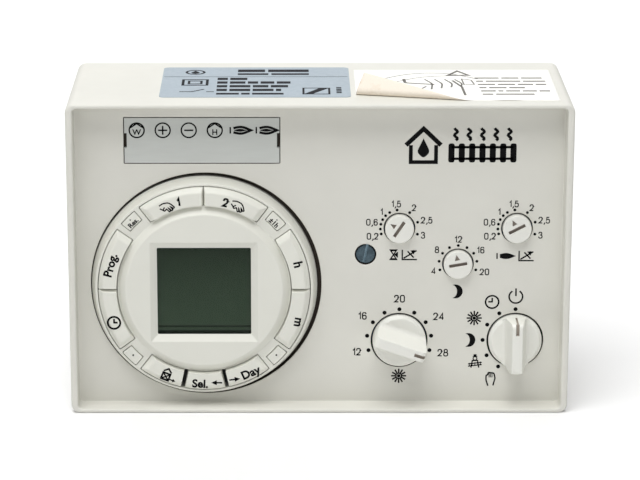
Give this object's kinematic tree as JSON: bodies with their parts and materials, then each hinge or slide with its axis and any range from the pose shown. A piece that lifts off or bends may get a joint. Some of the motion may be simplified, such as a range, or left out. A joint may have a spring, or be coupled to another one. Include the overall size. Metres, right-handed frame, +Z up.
{
  "type": "programmable heating timer",
  "caption": "Plug-in heating controller with a recessed panel, a round digital clock ringed by keys, trimmers, winged selector knobs, a lamp window and a rear plug.",
  "frame": {"origin": "centre of the bounding box in plan, at the base that the case stands on", "axes": "+X to the right seen from the front, +Y to the back, +Z up; the front panel faces -Y"},
  "size_m": [0.144, 0.0654, 0.0922],
  "materials": {
    "case_plastic": "fine satin texture",
    "cover_plastic": "fine satin texture",
    "clock_plastic": "satin",
    "key_plastic": "satin, printed black",
    "knob_plastic": "semi-gloss",
    "trimmer_plastic": "semi-gloss",
    "lamp_lens": "satin film, printed black",
    "lcd_window": "clear, gloss",
    "lcd_cell": "dark grey-green, gloss",
    "rating_foil": "pale blue foil",
    "notice_paper": "matt white paper",
    "screw_steel": "bright zinc",
    "fixing_steel": "blue zinc",
    "board_green": "solder resist",
    "black_plastic": "satin",
    "lamp_red": "diffused",
    "contact_brass": "bright",
    "core_steel": "varnished laminations",
    "coil_tape": "tape",
    "relay_plastic": "gloss",
    "capacitor_sleeve": "gloss",
    "fuse_glass": "clear, gloss",
    "spindle_plastic": "satin",
    "mat_rubber": "matt",
    "strip_rubber": "matt",
    "cell_steel": "satin"
  },
  "bodies": {
    "housing": {"front_housing": "case_plastic", "rear_cover": "cover_plastic", "cover_screws": "screw_steel", "fixing_screw": "fixing_steel", "rating_label": "rating_foil", "notice_label": "notice_paper", "lamp_window": "lamp_lens", "lamp_shield": "black_plastic", "lamps": "lamp_red", "control_board": "board_green", "main_board": "board_green", "board_screws": "screw_steel", "link_pins": "contact_brass", "transformer_core": "core_steel", "transformer_coil": "coil_tape", "relays": "relay_plastic", "controller_chip": "black_plastic", "capacitors": "capacitor_sleeve", "fuse": "fuse_glass", "rear_plug": "black_plastic", "plug_blades": "contact_brass", "temperature_potentiometer": "black_plastic", "mode_switch": "black_plastic", "valve_potentiometer": "black_plastic", "burner_potentiometer": "black_plastic", "night_potentiometer": "black_plastic", "clock_bezel": "clock_plastic", "clock_case": "clock_plastic", "display_window": "lcd_window", "display_glass": "lcd_cell", "display_strips": "strip_rubber", "clock_board": "board_green", "key_mat": "mat_rubber", "battery": "cell_steel", "clock_pins": "contact_brass", "clock_socket": "black_plastic"},
    "temperature_knob": {"temperature_knob": "knob_plastic", "temperature_spindle": "spindle_plastic"},
    "mode_knob": {"mode_knob": "knob_plastic", "mode_spindle": "spindle_plastic"},
    "valve_trimmer": {"valve_trimmer": "trimmer_plastic", "valve_stem": "spindle_plastic"},
    "burner_trimmer": {"burner_trimmer": "trimmer_plastic", "burner_stem": "spindle_plastic"},
    "night_trimmer": {"night_trimmer": "trimmer_plastic", "night_stem": "spindle_plastic"},
    "key_manual_1": {"key_manual_1": "key_plastic"},
    "key_manual_2": {"key_manual_2": "key_plastic"},
    "key_hour": {"key_hour": "key_plastic"},
    "key_minute": {"key_minute": "key_plastic"},
    "key_day": {"key_day": "key_plastic"},
    "key_select": {"key_select": "key_plastic"},
    "key_holiday": {"key_holiday": "key_plastic"},
    "key_clock": {"key_clock": "key_plastic"},
    "key_program": {"key_program": "key_plastic"},
    "key_reset": {"key_reset": "key_plastic"},
    "key_summer_time": {"key_summer_time": "key_plastic"},
    "key_lower_left": {"key_lower_left": "key_plastic"},
    "key_lower_right": {"key_lower_right": "key_plastic"}
  },
  "joints": [
    {"name": "temperature_knob_turn", "type": "hinge", "parent": "housing", "child": "temperature_knob", "pos_m": [0.02325, -0.02325, 0.02], "axis": [0, 1, 0], "range_deg": [-218.6, 0]},
    {"name": "mode_knob_turn", "type": "hinge", "parent": "housing", "child": "mode_knob", "pos_m": [0.05695, -0.02325, 0.02], "axis": [0, 1, 0], "range_deg": [-150, 0]},
    {"name": "valve_trimmer_turn", "type": "hinge", "parent": "housing", "child": "valve_trimmer", "pos_m": [0.023, -0.02325, 0.05385], "axis": [0, 1, 0], "range_deg": [-51, 165]},
    {"name": "burner_trimmer_turn", "type": "hinge", "parent": "housing", "child": "burner_trimmer", "pos_m": [0.0568, -0.02325, 0.05385], "axis": [0, 1, 0], "range_deg": [-80, 136]},
    {"name": "night_trimmer_turn", "type": "hinge", "parent": "housing", "child": "night_trimmer", "pos_m": [0.04, -0.02325, 0.04315], "axis": [0, 1, 0], "range_deg": [-98, 118]},
    {"name": "key_manual_1_press", "type": "slide", "parent": "housing", "child": "key_manual_1", "axis": [0, 1, 0], "range_m": [0, 0.0008], "stiffness_N_per_m": 1500, "springref_m": -0.0002},
    {"name": "key_manual_2_press", "type": "slide", "parent": "housing", "child": "key_manual_2", "axis": [0, 1, 0], "range_m": [0, 0.0008], "stiffness_N_per_m": 1500, "springref_m": -0.0002},
    {"name": "key_hour_press", "type": "slide", "parent": "housing", "child": "key_hour", "axis": [0, 1, 0], "range_m": [0, 0.0008], "stiffness_N_per_m": 1500, "springref_m": -0.0002},
    {"name": "key_minute_press", "type": "slide", "parent": "housing", "child": "key_minute", "axis": [0, 1, 0], "range_m": [0, 0.0008], "stiffness_N_per_m": 1500, "springref_m": -0.0002},
    {"name": "key_day_press", "type": "slide", "parent": "housing", "child": "key_day", "axis": [0, 1, 0], "range_m": [0, 0.0008], "stiffness_N_per_m": 1500, "springref_m": -0.0002},
    {"name": "key_select_press", "type": "slide", "parent": "housing", "child": "key_select", "axis": [0, 1, 0], "range_m": [0, 0.0008], "stiffness_N_per_m": 1500, "springref_m": -0.0002},
    {"name": "key_holiday_press", "type": "slide", "parent": "housing", "child": "key_holiday", "axis": [0, 1, 0], "range_m": [0, 0.0008], "stiffness_N_per_m": 1500, "springref_m": -0.0002},
    {"name": "key_clock_press", "type": "slide", "parent": "housing", "child": "key_clock", "axis": [0, 1, 0], "range_m": [0, 0.0008], "stiffness_N_per_m": 1500, "springref_m": -0.0002},
    {"name": "key_program_press", "type": "slide", "parent": "housing", "child": "key_program", "axis": [0, 1, 0], "range_m": [0, 0.0008], "stiffness_N_per_m": 1500, "springref_m": -0.0002},
    {"name": "key_reset_press", "type": "slide", "parent": "housing", "child": "key_reset", "axis": [0, 1, 0], "range_m": [0, 0.0008], "stiffness_N_per_m": 1000, "springref_m": -0.0002},
    {"name": "key_summer_time_press", "type": "slide", "parent": "housing", "child": "key_summer_time", "axis": [0, 1, 0], "range_m": [0, 0.0008], "stiffness_N_per_m": 1000, "springref_m": -0.0002},
    {"name": "key_lower_left_press", "type": "slide", "parent": "housing", "child": "key_lower_left", "axis": [0, 1, 0], "range_m": [0, 0.0008], "stiffness_N_per_m": 1000, "springref_m": -0.0002},
    {"name": "key_lower_right_press", "type": "slide", "parent": "housing", "child": "key_lower_right", "axis": [0, 1, 0], "range_m": [0, 0.0008], "stiffness_N_per_m": 1000, "springref_m": -0.0002}
  ]
}
